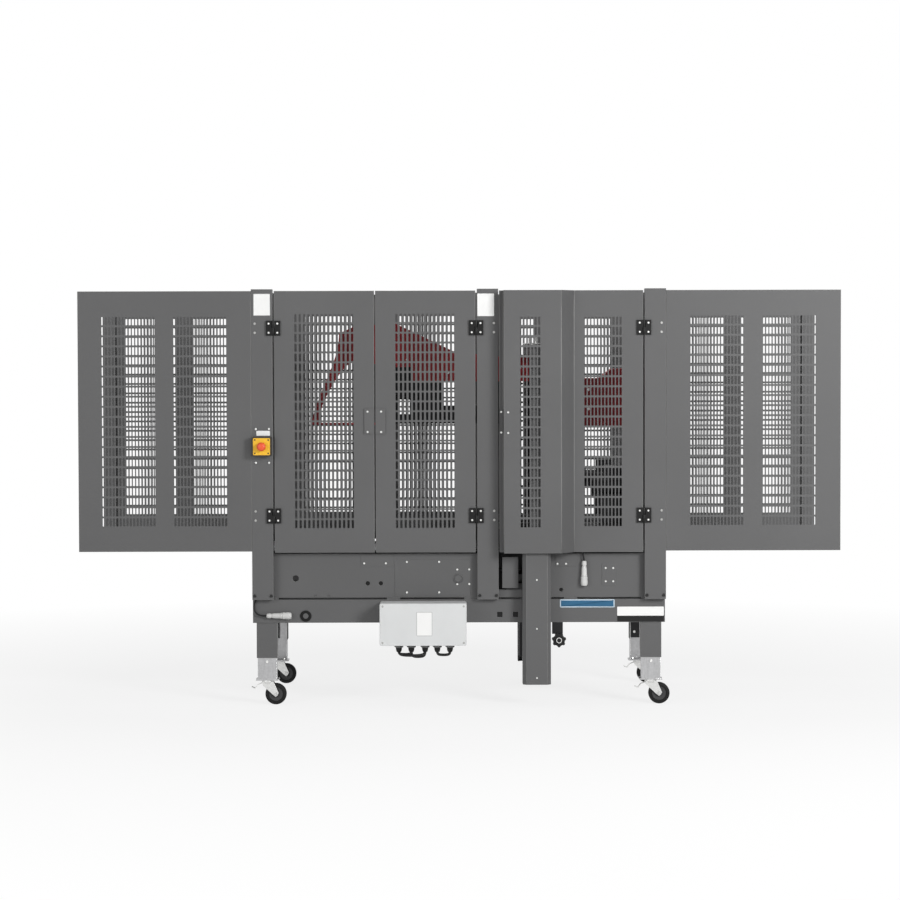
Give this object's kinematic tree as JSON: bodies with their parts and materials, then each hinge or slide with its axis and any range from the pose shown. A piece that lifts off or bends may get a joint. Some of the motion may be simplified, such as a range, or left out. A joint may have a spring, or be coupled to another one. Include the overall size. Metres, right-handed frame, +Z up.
{
  "type": "case sealer",
  "caption": "Case sealer on casters with punched sheet guards, hinged doors, side drive belts and a lifting taping head for closing boxes.",
  "frame": {"origin": "on the floor under the middle of the machine", "axes": "+X along the line from infeed to exit, +Y to the rear side, +Z up"},
  "size_m": [3.432, 1.1, 1.88],
  "materials": {
    "painted_sheet": "powder coat, satin",
    "zinc_steel": "zinc plated",
    "red_paint": "powder coat, satin",
    "black_paint": "satin",
    "black_plastic": "moulded",
    "light_box": "smooth",
    "yellow_plastic": "moulded",
    "red_plastic": "moulded",
    "grey_plastic": "moulded",
    "wheel_rubber": "moulded",
    "belt_rubber": "moulded"
  },
  "bodies": {
    "frame": {"side_beams": "painted_sheet", "cross_members": "painted_sheet", "bed_side_panels": "painted_sheet", "bed_cover_plates": "painted_sheet", "outer_legs": "painted_sheet", "inner_legs": "zinc_steel", "front_posts": "painted_sheet", "rear_posts": "painted_sheet", "post_hinge_leaves": "black_plastic", "wing_infeed_front": "painted_sheet", "wing_infeed_rear": "painted_sheet", "wing_exit_front": "painted_sheet", "wing_exit_rear": "painted_sheet", "bed_cross_bars": "painted_sheet", "roller_rails": "painted_sheet", "bed_rollers": "zinc_steel", "lower_tape_head": "black_paint", "side_belt_units": "painted_sheet", "side_belts": "belt_rubber", "side_belt_motors": "black_paint", "guide_rails": "zinc_steel", "lift_columns": "painted_sheet", "lift_screws": "zinc_steel", "column_covers": "painted_sheet", "column_stays": "black_paint", "control_box": "light_box", "control_box_lid": "light_box", "cable_glands": "black_plastic", "stop_box": "yellow_plastic", "cable_plugs": "grey_plastic", "knob_bracket": "black_paint"},
    "door_infeed_front_body": {"door_infeed_front": "painted_sheet", "door_fittings_infeed_front": "black_plastic"},
    "door_infeed_rear_body": {"door_infeed_rear": "painted_sheet", "door_fittings_infeed_rear": "black_plastic"},
    "door_middle_front_body": {"door_middle_front": "painted_sheet", "door_fittings_middle_front": "black_plastic"},
    "door_middle_rear_body": {"door_middle_rear": "painted_sheet", "door_fittings_middle_rear": "black_plastic"},
    "door_exit_front_body": {"door_exit_front": "painted_sheet", "door_fittings_exit_front": "black_plastic"},
    "door_exit_rear_body": {"door_exit_rear": "painted_sheet", "door_fittings_exit_rear": "black_plastic"},
    "caster_infeed_front": {"caster_fork_infeed_front": "zinc_steel"},
    "wheel_infeed_front": {"caster_wheel_infeed_front": "wheel_rubber"},
    "caster_infeed_rear": {"caster_fork_infeed_rear": "zinc_steel"},
    "wheel_infeed_rear": {"caster_wheel_infeed_rear": "wheel_rubber"},
    "caster_exit_front": {"caster_fork_exit_front": "zinc_steel"},
    "wheel_exit_front": {"caster_wheel_exit_front": "wheel_rubber"},
    "caster_exit_rear": {"caster_fork_exit_rear": "zinc_steel"},
    "wheel_exit_rear": {"caster_wheel_exit_rear": "wheel_rubber"},
    "head": {"head_cross_beam": "painted_sheet", "head_beam": "red_paint", "flap_plow": "red_paint", "upper_tape_head": "black_paint", "squeeze_rollers": "black_plastic"},
    "knob": {"hand_knob": "black_plastic"},
    "button": {"stop_button": "red_plastic"}
  },
  "joints": [
    {"name": "door_infeed_front_hinge", "type": "hinge", "parent": "frame", "child": "door_infeed_front_body", "pos_m": [-0.8365, -0.4718, 1.2825], "axis": [0, 0, -1], "range_deg": [0, 95]},
    {"name": "door_infeed_rear_hinge", "type": "hinge", "parent": "frame", "child": "door_infeed_rear_body", "pos_m": [-0.8365, 0.4718, 1.2825], "axis": [0, 0, 1], "range_deg": [0, 95]},
    {"name": "door_middle_front_hinge", "type": "hinge", "parent": "frame", "child": "door_middle_front_body", "pos_m": [0.076, -0.4718, 1.2825], "axis": [0, 0, 1], "range_deg": [0, 100]},
    {"name": "door_middle_rear_hinge", "type": "hinge", "parent": "frame", "child": "door_middle_rear_body", "pos_m": [0.076, 0.4718, 1.2825], "axis": [0, 0, -1], "range_deg": [0, 100]},
    {"name": "door_exit_front_hinge", "type": "hinge", "parent": "frame", "child": "door_exit_front_body", "pos_m": [0.8305, -0.4718, 1.2825], "axis": [0, 0, 1], "range_deg": [0, 100]},
    {"name": "door_exit_rear_hinge", "type": "hinge", "parent": "frame", "child": "door_exit_rear_body", "pos_m": [0.8305, 0.4718, 1.2825], "axis": [0, 0, -1], "range_deg": [0, 100]},
    {"name": "caster_infeed_front_swivel", "type": "hinge", "parent": "frame", "child": "caster_infeed_front", "pos_m": [-0.873, -0.396, 0.1], "axis": [0, 0, 1], "continuous": true},
    {"name": "wheel_infeed_front_roll", "type": "hinge", "parent": "caster_infeed_front", "child": "wheel_infeed_front", "pos_m": [-0.835, -0.396, 0.048], "axis": [0, 1, 0], "continuous": true},
    {"name": "caster_infeed_rear_swivel", "type": "hinge", "parent": "frame", "child": "caster_infeed_rear", "pos_m": [-0.873, 0.396, 0.1], "axis": [0, 0, 1], "continuous": true},
    {"name": "wheel_infeed_rear_roll", "type": "hinge", "parent": "caster_infeed_rear", "child": "wheel_infeed_rear", "pos_m": [-0.835, 0.396, 0.048], "axis": [0, 1, 0], "continuous": true},
    {"name": "caster_exit_front_swivel", "type": "hinge", "parent": "frame", "child": "caster_exit_front", "pos_m": [0.865, -0.396, 0.1], "axis": [0, 0, 1], "continuous": true},
    {"name": "wheel_exit_front_roll", "type": "hinge", "parent": "caster_exit_front", "child": "wheel_exit_front", "pos_m": [0.903, -0.396, 0.048], "axis": [0, 1, 0], "continuous": true},
    {"name": "caster_exit_rear_swivel", "type": "hinge", "parent": "frame", "child": "caster_exit_rear", "pos_m": [0.865, 0.396, 0.1], "axis": [0, 0, 1], "continuous": true},
    {"name": "wheel_exit_rear_roll", "type": "hinge", "parent": "caster_exit_rear", "child": "wheel_exit_rear", "pos_m": [0.903, 0.396, 0.048], "axis": [0, 1, 0], "continuous": true},
    {"name": "head_lift", "type": "slide", "parent": "frame", "child": "head", "axis": [0, 0, 1], "range_m": [-0.45, 0.02]},
    {"name": "knob_turn", "type": "hinge", "parent": "frame", "child": "knob", "pos_m": [0.448, -0.44, 0.293], "axis": [0, 1, 0], "continuous": true},
    {"name": "stop_press", "type": "slide", "parent": "frame", "child": "button", "axis": [0, 1, 0], "range_m": [0, 0.006], "stiffness_N_per_m": 2000}
  ]
}
